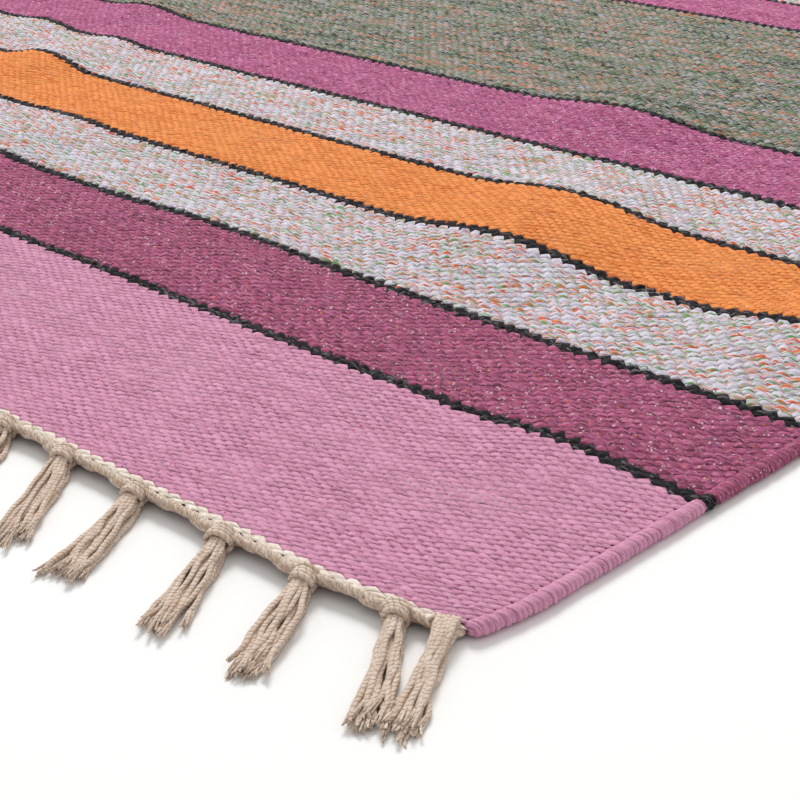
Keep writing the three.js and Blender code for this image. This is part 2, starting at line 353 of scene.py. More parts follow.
SLIT_HALF = (0.46, 0.42)
HAIR_SCALE = 0.6
HAIR_STRAY = 0.45
HUMP_ROUND = 3.0
RIB_ROUND = 2.4
FIELD_PAST_WARPS = 1.1
PLIES_PER_FINE_PICK = 5.0
PLY_TWIST = -0.13
DASH_APART = 40.0
FLECKS_PER_WARP = 4.6
FLECKS_PER_FINE_PICK = 2.8
FIBRE_SCALE = (3.2, 5.2)
STREAK_SCALE = (0.045, 0.42)
ZONE_SCALE = (0.024, 0.24)
NAP_SCALE = (0.13, 0.12)
SLACK_SCALE = (0.05, 0.04)
WEFT_VALUES = [
    "Height", "Open", "Ply", "Hump", "Fibre", "Fleck", "Fleck kind", "Streak", "Zone", "Nap", "Warp shows",
]
weft = bpy.data.node_groups.new("weft_humps", "ShaderNodeTree")
weft.interface.new_socket("Weave", in_out="INPUT", socket_type="NodeSocketVector")
weft.interface.new_socket("Dash length", in_out="INPUT", socket_type="NodeSocketFloat")
weft.interface.new_socket("Pick size", in_out="INPUT", socket_type="NodeSocketFloat")
weft.interface.new_socket("Row end", in_out="INPUT", socket_type="NodeSocketFloat")
for output in WEFT_VALUES:
    weft.interface.new_socket(output, in_out="OUTPUT", socket_type="NodeSocketFloat")
weft_in = weft.nodes.new("NodeGroupInput")
weft_out = weft.nodes.new("NodeGroupOutput")
split = weft.nodes.new("ShaderNodeSeparateXYZ")
weft.links.new(weft_in.outputs["Weave"], split.inputs[0])
hair = weft.nodes.new("ShaderNodeTexNoise")
hair.inputs["Scale"].default_value = HAIR_SCALE
hair.inputs["Detail"].default_value = 4
hair.inputs["Roughness"].default_value = 0.65
weft.links.new(weft_in.outputs["Weave"], hair.inputs["Vector"])
hair_split = weft.nodes.new("ShaderNodeSeparateXYZ")
weft.links.new(hair.outputs["Color"], hair_split.inputs[0])
stray_u = reckon(weft, "SUBTRACT", hair_split.outputs["X"], 0.5)
stray_v = reckon(weft, "SUBTRACT", hair_split.outputs["Y"], 0.5)
u = reckon(weft, "MULTIPLY_ADD", stray_u, HAIR_STRAY, split.outputs["X"])
v = reckon(weft, "MULTIPLY_ADD", stray_v, HAIR_STRAY, split.outputs["Y"])
pick_size = weft_in.outputs["Pick size"]
fine_v = reckon(weft, "MULTIPLY", v, pick_size)
rising = reckon(weft, "ROUND", reckon(weft, "MULTIPLY", reckon(weft, "ADD", u, v), 0.5))
falling = reckon(weft, "ROUND", reckon(weft, "MULTIPLY", reckon(weft, "SUBTRACT", u, v), 0.5))
hump_warp = reckon(weft, "ADD", rising, falling)
hump_pick = reckon(weft, "SUBTRACT", rising, falling)
du = reckon(weft, "SUBTRACT", u, hump_warp)
dv = reckon(weft, "SUBTRACT", v, hump_pick)
off_row = reckon(weft, "ABSOLUTE", reckon(weft, "SUBTRACT", du, dv))
along_row = reckon(weft, "ABSOLUTE", reckon(weft, "ADD", du, dv))
hump_off = reckon(weft, "MAXIMUM", off_row, reckon(weft, "MULTIPLY", along_row, weft_in.outputs["Row end"]))
hump_height = reckon(weft, "SUBTRACT", 1.0, reckon(weft, "POWER", hump_off, HUMP_ROUND))


def slit_of(along_weft, across_weft):
    """How far a point is from a foot, 1 on the rim of the slit there."""
    long = reckon(weft, "POWER", reckon(weft, "DIVIDE", along_weft, SLIT_HALF[0]), 2.0)
    across_weft = reckon(weft, "DIVIDE", reckon(weft, "MULTIPLY", across_weft, pick_size), SLIT_HALF[1])
    return reckon(weft, "ADD", long, reckon(weft, "POWER", across_weft, 2.0))


# Open is 0 in the slits at the humps' feet and in the dips between the bead's ribs; the finishes paint shade
# there and let the warp show in places.
side_slit = slit_of(reckon(weft, "SUBTRACT", 1.0, reckon(weft, "ABSOLUTE", du)), dv)
end_slit = slit_of(du, reckon(weft, "SUBTRACT", 1.0, reckon(weft, "ABSOLUTE", dv)))
hump_open = spread(weft, reckon(weft, "MINIMUM", side_slit, end_slit), 0.25, 1.3, 0.0, 1.0)
off_middle = reckon(weft, "ABSOLUTE", reckon(weft, "SUBTRACT", u, WARPS / 2))
on_bead = reckon(weft, "GREATER_THAN", off_middle, WARPS / 2 + FIELD_PAST_WARPS)
bead_angle = reckon(weft, "SUBTRACT", WARPS / 2 + BEAD_FROM_WARPS, off_middle)
rib_turn = reckon(weft, "MULTIPLY", bead_angle, RIB_SLANT / math.tau)
rib = reckon(weft, "ADD", reckon(weft, "MULTIPLY_ADD", v, 1 / RIB_STEPS, rib_turn), 0.5)
rib_number = reckon(weft, "FLOOR", rib)
rib_part = reckon(weft, "SUBTRACT", reckon(weft, "SUBTRACT", rib, rib_number), 0.5)
rib_off = reckon(weft, "MULTIPLY", reckon(weft, "ABSOLUTE", rib_part), 2.0)
rib_height = reckon(weft, "SUBTRACT", 1.0, reckon(weft, "POWER", rib_off, RIB_ROUND))
height = blend_of(weft, on_bead, hump_height, rib_height)
opened = blend_of(weft, on_bead, hump_open, spread(weft, rib_height, 0.0, 0.7, 0.0, 1.0))
pick = blend_of(weft, on_bead, hump_pick, reckon(weft, "MULTIPLY", rib_number, RIB_STEPS))
across_ply = blend_of(weft, on_bead, dv, reckon(weft, "MULTIPLY", rib_part, 2.0))
along = reckon(weft, "MULTIPLY_ADD", chance_of(weft, pick, 0.5), DASH_APART, u)
ply_turn = reckon(weft, "MULTIPLY_ADD", along, PLY_TWIST, reckon(weft, "MULTIPLY_ADD", across_ply, 0.5, 0.5))
plies = reckon(weft, "MULTIPLY", pick_size, PLIES_PER_FINE_PICK)
ply = reckon(weft, "FLOOR", reckon(weft, "MULTIPLY", reckon(weft, "FRACT", ply_turn), plies))
dash = reckon(weft, "DIVIDE", along, weft_in.outputs["Dash length"])
dash = reckon(weft, "FLOOR", reckon(weft, "MULTIPLY_ADD", ply, 0.37, dash))
fleck_place = reckon(weft, "FLOOR", reckon(weft, "MULTIPLY", along, FLECKS_PER_WARP))
across_fleck = reckon(weft, "MULTIPLY", across_ply, pick_size)
fleck_side = reckon(weft, "FLOOR", reckon(weft, "MULTIPLY", across_fleck, FLECKS_PER_FINE_PICK))


def weft_cloud(scale, detail):
    """A cloud over the weave, scaled along and across the weft."""
    along_weft = reckon(weft, "MULTIPLY", u, scale[0])
    across_weft = reckon(weft, "MULTIPLY", fine_v, scale[1])
    return cloud_of(weft, along_weft, across_weft, detail)


weft.links.new(height, weft_out.inputs["Height"])
weft.links.new(opened, weft_out.inputs["Open"])
weft.links.new(chance_of(weft, dash, pick, ply), weft_out.inputs["Ply"])
weft.links.new(chance_of(weft, hump_warp, hump_pick, 3.5), weft_out.inputs["Hump"])
fibre = weft_cloud(FIBRE_SCALE, 4)
weft.links.new(fibre, weft_out.inputs["Fibre"])
weft.links.new(chance_of(weft, fleck_place, pick, fleck_side), weft_out.inputs["Fleck"])
fleck_kind = chance_of(weft, fleck_place, pick, reckon(weft, "ADD", fleck_side, 20.5))
weft.links.new(fleck_kind, weft_out.inputs["Fleck kind"])
streak = weft_cloud(STREAK_SCALE, 3)
weft.links.new(streak, weft_out.inputs["Streak"])
zone = weft_cloud(ZONE_SCALE, 3)
weft.links.new(spread(weft, zone, 0.25, 0.75, 0.0, 1.0), weft_out.inputs["Zone"])
nap = weft_cloud(NAP_SCALE, 3)
weft.links.new(spread(weft, nap, 0.32, 0.62, 0.0, 1.0), weft_out.inputs["Nap"])
slack = weft_cloud(SLACK_SCALE, 2)
slack = spread(weft, slack, 0.56, 0.8, 0.0, 1.0)
slack = reckon(weft, "MULTIPLY", slack, spread(weft, opened, 0.0, 0.14, 1.0, 0.0))
warp_shows = reckon(weft, "MULTIPLY", slack, chance_of(weft, hump_warp, hump_pick, 8.5))
weft.links.new(warp_shows, weft_out.inputs["Warp shows"])


def linear(colour):
    """A colour read from the photo, 0 to 255, as the shader's linear one."""
    share = np.array(colour) / 255
    return tuple(np.where(share < 0.04045, share / 12.92, ((share + 0.055) / 1.055) ** 2.4)) + (1.0,)


def ramp_of(tree, colours, value):
    """A stepped ramp with a share for each colour."""
    node = tree.nodes.new("ShaderNodeValToRGB")
    node.color_ramp.interpolation = "CONSTANT"
    stops = node.color_ramp.elements
    while len(stops) < len(colours):
        stops.new(1.0)
    at = 0.0
    for stop, (share, colour) in zip(stops, colours):
        stop.position = at
        stop.color = linear(colour)
        at += share
    tree.links.new(value, node.inputs["Fac"])
    return node.outputs["Color"]


def mixed(tree, kind, part, low, high):
    """A Mix Color node on numbers, colours and sockets."""
    node = tree.nodes.new("ShaderNodeMix")
    node.data_type = "RGBA"
    node.blend_type = kind
    for name, value in (("Factor_Float", part), ("A_Color", low), ("B_Color", high)):
        socket = next(s for s in node.inputs if s.identifier == name)
        if isinstance(value, bpy.types.NodeSocket):
            tree.links.new(value, socket)
        else:
            socket.default_value = value
    return next(s for s in node.outputs if s.identifier == "Result_Color")


FLECKS = [
    (0.45, (216, 194, 194)),
    (0.2, (206, 60, 84)),
    (0.2, (210, 84, 144)),
    (0.05, (110, 112, 150)),
    (0.1, (214, 128, 70)),
]
# Each yarn has a painted shade colour for the slits at the humps' feet and the dips between the bead's ribs,
# and slit says how far its colour is darkened towards it there.
YARNS = {
    "pink": dict(
        plies=[(0.5, (223, 160, 190)), (0.3, (216, 152, 182)), (0.2, (204, 138, 169))],
        size=1, dash=5, zone=0.2, row_end=0.95, slit=0.65,
        groove_shade=(126, 52, 92), flecks=0.002, streak=0.12, sheen=0.15),
    "plum": dict(
        plies=[(0.14, (124, 65, 92)), (0.28, (156, 81, 112)),
               (0.43, (178, 95, 131)), (0.15, (198, 119, 152))],
        size=1.59, dash=0.8, zone=0.15, row_end=0.75, slit=0.8,
        groove_shade=(84, 34, 58), flecks=0.045, streak=0.3, sheen=0.15),
    "light": dict(
        plies=[(0.09, (124, 166, 112)), (0.08, (174, 192, 164)), (0.07, (192, 178, 200)),
               (0.45, (226, 222, 235)), (0.12, (209, 203, 221)), (0.08, (230, 170, 142)),
               (0.11, (226, 108, 64))],
        size=1.92, dash=2.6, zone=0.12, row_end=0.8, slit=0.7,
        groove_shade=(136, 116, 124), flecks=0.0, streak=0.15, sheen=0.15),
    "orange": dict(
        plies=[(0.15, (224, 122, 58)), (0.35, (243, 150, 82)), (0.5, (250, 159, 91))],
        size=1.28, dash=5, zone=0.2, row_end=0.92, slit=0.85,
        groove_shade=(186, 74, 24), flecks=0.004, streak=0.12, sheen=0.15),
    "mauve": dict(
        plies=[(0.15, (142, 64, 104)), (0.3, (176, 90, 133)),
               (0.4, (192, 108, 150)), (0.15, (212, 138, 175))],
        size=1.53, dash=1, zone=0.15, row_end=0.88, slit=0.6,
        groove_shade=(118, 44, 82), flecks=0.04, streak=0.25, sheen=0.15),
    "green": dict(
        plies=[(0.14, (58, 56, 57)), (0.15, (84, 112, 78)), (0.24, (124, 144, 113)),
               (0.2, (160, 158, 153)), (0.12, (178, 175, 187)), (0.11, (200, 156, 142)),
               (0.04, (206, 116, 82))],
        size=1.94, dash=4.5, zone=0.45, row_end=0.85, slit=0.58,
        groove_shade=(62, 60, 55), flecks=0.0, streak=0.5, sheen=0.15),
    "charcoal": dict(
        plies=[(0.55, (27, 24, 28)), (0.3, (50, 47, 52)), (0.15, (104, 99, 102))],
        size=1.53, dash=0.7, zone=0.0, row_end=1, slit=0.6,
        groove_shade=(10, 9, 11), flecks=0.0, streak=0.1, sheen=0.04),
    "cream": dict(
        plies=[(0.5, (250, 240, 228)), (0.3, (242, 228, 212)), (0.2, (230, 212, 194))],
        size=1, dash=3, zone=0.0, row_end=1, slit=0.42,
        groove_shade=(190, 166, 144), flecks=0.0, streak=0.1, sheen=0.15),
}
WARP_COLOUR = (214, 204, 186)
HUMP_BUMP = 0.5 * MM
FIBRE_BUMP = 0.4
HUMP_TONE = (0.08, 0.88)
FIBRE_TONE = 0.55
NAP_HIDES = 0.55


def weft_finish(name):
    """The material of the cloth woven with one of the yarns."""
    yarn = YARNS[name]
    finish = bpy.data.materials.new("weft_" + name)
    finish.use_nodes = True
    tree = finish.node_tree
    shader = tree.nodes["Principled BSDF"]
    weave_map = tree.nodes.new("ShaderNodeUVMap")
    weave_map.uv_map = "weave"
    weave = tree.nodes.new("ShaderNodeGroup")
    weave.node_tree = weft
    weave.inputs["Dash length"].default_value = yarn["dash"]
    weave.inputs["Pick size"].default_value = yarn["size"]
    weave.inputs["Row end"].default_value = yarn["row_end"]
    tree.links.new(weave_map.outputs["UV"], weave.inputs["Weave"])
    off_zone = reckon(tree, "SUBTRACT", weave.outputs["Zone"], 0.5)
    ply = reckon(tree, "MULTIPLY_ADD", off_zone, yarn["zone"], weave.outputs["Ply"])
    colour = ramp_of(tree, yarn["plies"], ply)
    if yarn["flecks"]:
        is_fleck = reckon(tree, "GREATER_THAN", weave.outputs["Fleck"], 1 - yarn["flecks"])
        colour = mixed(tree, "MIX", is_fleck, colour, ramp_of(tree, FLECKS, weave.outputs["Fleck kind"]))
    tone = reckon(tree, "MULTIPLY_ADD", weave.outputs["Hump"], *HUMP_TONE)
    off_fibre = reckon(tree, "SUBTRACT", weave.outputs["Fibre"], 0.5)
    off_streak = reckon(tree, "SUBTRACT", weave.outputs["Streak"], 0.5)
    tone = reckon(tree, "MULTIPLY_ADD", off_fibre, FIBRE_TONE, tone)
    tone = reckon(tree, "MULTIPLY_ADD", off_streak, yarn["streak"], tone)
    colour = mixed(tree, "MULTIPLY", 1.0, colour, place_of(tree, tone, tone, tone))
    # Painted shade: the slits at the humps' feet and the dips between the bead's ribs are darkened towards
    # the yarn's shade colour, less where the nap lies over them.
    painted_slit_shade = reckon(tree, "MULTIPLY_ADD", weave.outputs["Open"], -yarn["slit"], yarn["slit"])
    nap_leaves = reckon(tree, "MULTIPLY_ADD", weave.outputs["Nap"], -NAP_HIDES, 1.0)
    painted_slit_shade = reckon(tree, "MULTIPLY", painted_slit_shade, nap_leaves)
    colour = mixed(tree, "MIX", painted_slit_shade, colour, linear(yarn["groove_shade"]))
    colour = mixed(tree, "MIX", weave.outputs["Warp shows"], colour, linear(WARP_COLOUR))
    tree.links.new(colour, shader.inputs["Base Color"])
    rough = reckon(tree, "MULTIPLY_ADD", weave.outputs["Fibre"], 0.2, 0.78)
    tree.links.new(rough, shader.inputs["Roughness"])
    shader.inputs["Specular IOR Level"].default_value = 0.15
    shader.inputs["Sheen Weight"].default_value = yarn["sheen"]
    shader.inputs["Sheen Roughness"].default_value = 0.6
    shares, colours = zip(*yarn["plies"])
    shader.inputs["Sheen Tint"].default_value = linear(np.average(colours, axis=0, weights=shares))
    bump = tree.nodes.new("ShaderNodeBump")
    bump.inputs["Distance"].default_value = HUMP_BUMP * yarn["size"]
    relief = reckon(tree, "MULTIPLY_ADD", weave.outputs["Fibre"], FIBRE_BUMP, weave.outputs["Height"])
    tree.links.new(relief, bump.inputs["Height"])
    tree.links.new(bump.outputs["Normal"], shader.inputs["Normal"])
    return finish


# The stripes. The weaver changes the weft's colour after so many picks and throws two charcoal picks at
# each change. Each stripe is a piece from selvedge to selvedge, and the charcoal picks are one together.
UNDERSIDE_CELL = 30 * MM


def joined(parts):
    """Parts, each of points, triangles and map coordinates, as one."""
    start = np.cumsum([0] + [len(part[0]) for part in parts[:-1]])
    points = np.concatenate([part[0] for part in parts])
    triangles = np.concatenate([part[1] + first for part, first in zip(parts, start)])
    return points, triangles, np.concatenate([part[2] for part in parts])


def piece_of(name, parts, map_name, finish):
    """One object with a mesh of the parts, smooth, with their map."""
    points, triangles, places = joined(parts)
    mesh = bpy.data.meshes.new(name)
    mesh.vertices.add(len(points))
    mesh.vertices.foreach_set("co", points.astype(np.float32).ravel())
    mesh.loops.add(triangles.size)
    mesh.loops.foreach_set("vertex_index", triangles.astype(np.int32).ravel())
    mesh.polygons.add(len(triangles))
    mesh.polygons.foreach_set("loop_start", np.arange(0, triangles.size, 3, dtype=np.int32))
    mesh.polygons.foreach_set("use_smooth", np.ones(len(triangles), dtype=bool))
    mesh.update(calc_edges=True)
    layer = mesh.uv_layers.new(name=map_name)
    layer.data.foreach_set("uv", places[triangles.ravel()].astype(np.float32).ravel())
    mesh.validate()
    mesh.materials.append(finish)
    piece = bpy.data.objects.new(name, mesh)
    scene.collection.objects.link(piece)
    return piece


def underside(start, stop):
    """The plain underside between two places along the cloth, in wide cells."""
    cells = bmesh.new()
    columns = round(2 * FIELD / UNDERSIDE_CELL)
    rows = max(1, round((stop - start) / UNDERSIDE_CELL))
    bmesh.ops.create_grid(cells, x_segments=columns, y_segments=rows, size=0.5)
    bmesh.ops.reverse_faces(cells, faces=cells.faces)
    bmesh.ops.triangulate(cells, faces=cells.faces)
    flat = np.array([vertex.co[:2] for vertex in cells.verts]) + 0.5
    triangles = np.array([[vertex.index for vertex in face.verts] for face in cells.faces])
    cells.free()
    along = start + flat[:, 1] * (stop - start)
    pick = np.interp(along, pick_middles, np.arange(-SPARE, PICKS + SPARE))
    x, y, z = lie((2 * flat[:, 0] - 1) * FIELD, along)
    points = np.stack([x, y, z + UNDERSIDE_HEIGHT], axis=1)
    return points, triangles, np.stack([flat[:, 0] * WARPS, pick], axis=1)


finishes = {name: weft_finish(name) for name in YARNS}
pinstripe_parts = []
first = 0
for order, stripe in enumerate(STRIPES, start=1):
    last = first + stripe["picks"]
    start = pick_start(first - 1 if order > 1 else first)
    stop = pick_start(last + 1 if order < len(STRIPES) else last)
    parts = [humps(first, last), bead(first, last, 1), bead(first, last, -1), underside(start, stop)]
    piece = piece_of(f"stripe_{order:02d}_{stripe['yarn']}", parts, "weave", finishes[stripe["yarn"]])
    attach(piece, "root")
    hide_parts("kilim_cloth")
    first = last + PINSTRIPE_PICKS
    if order < len(STRIPES):
        pinstripe_parts += [humps(last, first), bead(last, first, 1), bead(last, first, -1)]

pinstripes = piece_of("pinstripes", pinstripe_parts, "weave", finishes["charcoal"])
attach(pinstripes, "root")
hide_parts("kilim_cloth")

# The headings. At each end the weaver beats in two picks of undyed cotton, which lock the coloured
# wefts before the cloth is cut from the loom.
HEADING_PICKS = 2
for end, first in (("near", -HEADING_PICKS), ("far", PICKS)):
    heading = piece_of(f"heading_{end}", [humps(first, first + HEADING_PICKS)], "weave", finishes["cream"])
    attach(heading, "root")
    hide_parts(f"fringe_{end}")

# The tassels. The warp ends run along the heading to a knot, sixteen from both sides, and hang from its
# turns as soft twisted yarns that fan out on the floor and fray at their tips.
CORNER_TASSELS = [
    dict(at=12, lean=29, length=57, fan=0.65, loose=True),
    dict(at=33, lean=35, length=61, fan=0.75, loose=False),
    dict(at=77.5, lean=26, length=58, fan=0.9, loose=False),
    dict(at=126, lean=27.5, length=60, fan=1, loose=False),
    dict(at=181, lean=26, length=60, fan=1, loose=False),
    dict(at=232, lean=35, length=64, fan=1, loose=False),
    dict(at=276, lean=30, length=62, fan=1, loose=False),
]
LAST_TASSEL = dict(at=1187, lean=18, length=56, fan=0.8, loose=True)
MORE_TASSELS = 18
TASSEL_PITCH = 49
YARNS_PER_TASSEL = 16
YARN_RADIUS = 1.25 * MM
YARN_STATIONS = 27
YARN_SIDES = 5
TWIST_PITCH = 5.2 * MM
YARN_APART = 40
CRIMP = dict(swing=0.45 * MM, turns=7)
KNOT_TURNS = 4
TURN_STATIONS = 18
KNOT_CENTRE = 5.9 * MM
FRAYS_PER_YARN = 4
FRAY_RADII = np.array([0.6, 0.62, 0.6, 0.35]) * MM
FAN_STEPS = [
    dict(share=0.15, half=5.2, stack=2.3),
    dict(share=0.32, half=7.2, stack=2.0),
    dict(share=0.55, half=8.8, stack=1.5),
    dict(share=0.78, half=10.0, stack=1.2),
    dict(share=1.0, half=11.0, stack=0.9),
]
KNOT_OUT = 5.2 * MM
LOOSE_OUT = 3 * MM
KNOT_YARNS_HALF = 3.4 * MM
LOOSE_YARNS_HALF = 4.4 * MM
KNOT_PITCH = 2.3 * MM
KNOT_RADIUS = 1.35 * MM
EDGE_ROPE = dict(
    strands=4, radius=1.15 * MM, coil=1.15 * MM, pitch=22 * MM, stations=420,
    inset=12 * MM, out=-0.4 * MM, height=3.2 * MM, swell=1.6 * MM, swell_reach=9 * MM,
)
tier = np.random.default_rng(23)


def tubes(paths, radii, sides, twisted=True):
    """Round yarns along paths of yarn, station and xyz, as points, triangles and yarn coordinates."""
    count, stations = radii.shape
    ahead = np.gradient(paths, axis=1)
    ahead /= np.linalg.norm(ahead, axis=2, keepdims=True)
    aside = np.cross(ahead, (0.0, 0.0, 1.0)) + 1e-9
    aside /= np.linalg.norm(aside, axis=2, keepdims=True)
    upward = np.cross(aside, ahead)
    angle = np.linspace(0, math.tau, sides + 1)
    ring = aside[:, :, None] * np.cos(angle)[:, None] + upward[:, :, None] * np.sin(angle)[:, None]
    points = paths[:, :, None] + ring * radii[:, :, None, None]
    number = np.arange(points.size // 3).reshape(points.shape[:3])
    a, b = number[:, :-1, :-1].ravel(), number[:, :-1, 1:].ravel()
    c, d = number[:, 1:, 1:].ravel(), number[:, 1:, :-1].ravel()
    triangles = [np.stack([a, d, c], 1), np.stack([a, c, b], 1)]
    for turn in range(1, sides - 1):
        triangles.append(np.stack([number[:, 0, 0], number[:, 0, turn], number[:, 0, turn + 1]], 1))
        triangles.append(np.stack([number[:, -1, 0], number[:, -1, turn + 1], number[:, -1, turn]], 1))
    step = np.linalg.norm(np.diff(paths, axis=1), axis=2)
    along = np.concatenate([np.zeros((count, 1)), np.cumsum(step, axis=1)], axis=1) / TWIST_PITCH
    along = along + YARN_APART * np.arange(count)[:, None] + tier.uniform(0, 900)
    turn = angle / math.tau if twisted else 0.25 * np.ones_like(angle)
    along = along if twisted else np.round(along)
    places = np.stack(np.broadcast_arrays(along[:, :, None], turn), axis=-1)
    return points.reshape(-1, 3), np.concatenate(triangles), places.reshape(-1, 2)


def smooth_paths(marks, stations):
    """Smooth curves through marks of yarn, mark and xyz."""
    before_first = 2 * marks[:, :1] - marks[:, 1:2]
    after_last = 2 * marks[:, -1:] - marks[:, -2:-1]
    ends = np.concatenate([before_first, marks, after_last], axis=1)
    place = np.linspace(0, marks.shape[1] - 1, stations)
    span = np.minimum(place.astype(int), marks.shape[1] - 2)
    t = (place - span)[None, :, None]
    before, here, there, after = (ends[:, span + k] for k in range(4))
    return 0.5 * (2 * here + (there - before) * t + (2 * before - 5 * here + 4 * there - after) * t**2
                  + (3 * here - before - 3 * there + after) * t**3)


def tassel(row, left_gap, right_gap):
    """One tassel's yarns, its knot's turns and its frayed tips, from the near end of the cloth."""
    lean = math.radians(row["lean"])
    out = np.array([math.sin(lean), -math.cos(lean), 0.0])
    side = np.array([math.cos(lean), math.sin(lean), 0.0])
    up = np.array([0.0, 0.0, 1.0])
    middle = WIDTH / 2 - row["at"] * MM
    x, y, z = (float(value) for value in lie(np.float64(middle), np.float64(-LENGTH / 2)))
    edge = np.array([x, y - HEADING_PICKS * FINE_STEP, z])
    place = (np.arange(YARNS_PER_TASSEL) + 0.5) / YARNS_PER_TASSEL * 2 - 1
    reach = np.where(place < 0, left_gap, right_gap) * np.abs(place)
    root_across = middle + np.sign(place) * reach
    root_x, root_y, root_z = lie(root_across, np.full_like(place, -LENGTH / 2))
    root_y = root_y - (HEADING_PICKS - 1) * FINE_STEP
    layer = np.arange(YARNS_PER_TASSEL) % 3
    loose = row["loose"]
    knot = edge + out * (LOOSE_OUT if loose else KNOT_OUT)
    knot[2] = KNOT_CENTRE
    spread_now = place * (LOOSE_YARNS_HALF if loose else KNOT_YARNS_HALF)
    tip_order = tier.permutation(YARNS_PER_TASSEL)
    tip_place = (tip_order + 0.5) / YARNS_PER_TASSEL * 2 - 1
    tip_place = 0.55 * place + 0.45 * tip_place
    marks = [np.stack([root_x, root_y, root_z + 2.6 * MM], axis=1)]
    far = np.abs(place)
    bend_y = root_y - (2.0 + 1.2 * far) * MM
    bend_z = root_z + (3.0 + 0.9 * (layer - 1)) * MM
    bend = np.stack([root_x, bend_y, bend_z], axis=1)
    marks.append(np.stack([0.78 * root_x + 0.22 * knot[0], bend_y, bend_z], axis=1))
    entry = knot - out * 5.5 * MM + side * (spread_now * 1.15)[:, None]
    entry = entry + up * ((layer - 1) * 1.6 * MM)[:, None]
    marks.append(0.45 * bend + 0.55 * entry - np.array([0, 0.8 * MM, 0]))
    marks.append(entry)
    inside = knot + out * 1 * MM + side * (spread_now * 0.9)[:, None]
    marks.append(inside + up * ((layer - 1) * 1.9 * MM)[:, None])
    length = row["length"] * MM * (1 + 0.07 * tier.normal(size=YARNS_PER_TASSEL).clip(-1.5, 1.5))
    for step in FAN_STEPS:
        share = step["share"]
        wobble = tier.normal(size=YARNS_PER_TASSEL).clip(-1.6, 1.6) * 1.1 * MM * math.sqrt(share)
        across = (place * (1 - share) + tip_place * share) * step["half"] * row["fan"] * MM + wobble
        height = YARN_RADIUS + (step["stack"] * layer + 2.6 * (1 - share) ** 2 * (1 - far)) * MM
        settle = edge + out * KNOT_OUT + out * (length * share)[:, None] + side * across[:, None]
        settle[:, 2] = height
        marks.append(settle)
    paths = smooth_paths(np.stack(marks, axis=1), YARN_STATIONS)
    way = np.linspace(0, 1, YARN_STATIONS)
    swing = np.sin(CRIMP["turns"] * math.tau * way + tier.uniform(0, math.tau, size=(YARNS_PER_TASSEL, 1)))
    paths += side * (CRIMP["swing"] * swing * way)[:, :, None]
    paths[:, :, 2] = np.maximum(paths[:, :, 2], YARN_RADIUS * 1.3)
    thick = 1 + 0.1 * tier.normal(size=(YARNS_PER_TASSEL, 1)).clip(-1.5, 1.5)
    radii = YARN_RADIUS * thick * np.interp(way, [0, 0.9, 1], [1, 1.05, 0.5])
    parts = [tubes(paths, radii, YARN_SIDES)]
    if not loose:
        turn = np.linspace(-0.55 * math.pi, 1.5 * math.pi, TURN_STATIONS)
        rings = []
        for order in range(KNOT_TURNS):
            shift = (order - (KNOT_TURNS - 1) / 2) * KNOT_PITCH
            wide = (5.1 - 0.25 * abs(order - 1.5) + 0.3 * tier.normal()) * MM
            tall = (4.45 + 0.15 * tier.normal()) * MM
            slip = shift + (1.5 * np.cos(turn - 0.4) + 0.35 * turn) * MM
            ring = knot + side * (wide * np.cos(turn))[:, None] + up * (tall * np.sin(turn))[:, None]
            rings.append(ring + out * (slip - 2.0 * MM)[:, None])
        rings = np.stack(rings)
        rings[:, :, 2] = np.maximum(rings[:, :, 2], 1.4 * MM)
        parts.append(tubes(rings, np.full(rings.shape[:2], KNOT_RADIUS), YARN_SIDES))
    roots = np.repeat(paths[:, -3], FRAYS_PER_YARN, axis=0)
    tips = np.repeat(paths[:, -1], FRAYS_PER_YARN, axis=0)
    course = tips - roots
    course /= np.linalg.norm(course, axis=1, keepdims=True)
    stray = tier.normal(size=(len(tips), 3)).clip(-1.7, 1.7) * (1.0, 1.0, 0.7)
    fray_long = tier.uniform(0.3, 2.2, size=(len(tips), 1)) * MM
    frays = np.stack([
        roots + 0.35 * YARN_RADIUS * stray,
        0.5 * (roots + tips) + 0.55 * YARN_RADIUS * stray,
        tips + 0.8 * YARN_RADIUS * stray,
        tips + course * fray_long + (0.8 * YARN_RADIUS + 0.18 * fray_long) * stray,
    ], axis=1)
    frays[:, :, 2] = np.maximum(frays[:, :, 2], FRAY_RADII)
    parts.append(tubes(frays, np.tile(FRAY_RADII, (len(tips), 1)), 3, twisted=False))
    return parts


tassels = list(CORNER_TASSELS)
for order in range(1, MORE_TASSELS + 1):
    tassels.append(dict(
        at=CORNER_TASSELS[-1]["at"] + TASSEL_PITCH * order + 4 * math.sin(2.4 * order),
        lean=29 + 6 * math.sin(1.7 * order),
        length=61 + 4 * math.sin(3.1 * order + 1),
        fan=1,
        loose=False,
    ))
tassels.append(LAST_TASSEL)

COTTON_LIGHT = (234, 217, 203)
COTTON_DARK = (216, 192, 172)
COTTON_FIBRE = (196, 160, 130)
COTTON_GROOVE_SHADE = (166, 122, 90)
COTTON_SHADE = (160, 122, 94)
COTTON_BUMP = 0.32 * MM
cotton = bpy.data.materials.new("undyed_cotton")
cotton.use_nodes = True
tree = cotton.node_tree
shader = tree.nodes["Principled BSDF"]
yarn_map = tree.nodes.new("ShaderNodeUVMap")
yarn_map.uv_map = "yarn"
split = tree.nodes.new("ShaderNodeSeparateXYZ")
tree.links.new(yarn_map.outputs["UV"], split.inputs[0])
u, v = split.outputs["X"], split.outputs["Y"]
slack = cloud_of(tree, reckon(tree, "MULTIPLY", u, 0.9), reckon(tree, "MULTIPLY", v, 2.0), 2)
lay = reckon(tree, "ADD", reckon(tree, "ADD", u, v), slack)
ply_turn = reckon(tree, "FRACT", reckon(tree, "MULTIPLY", lay, 2.0))
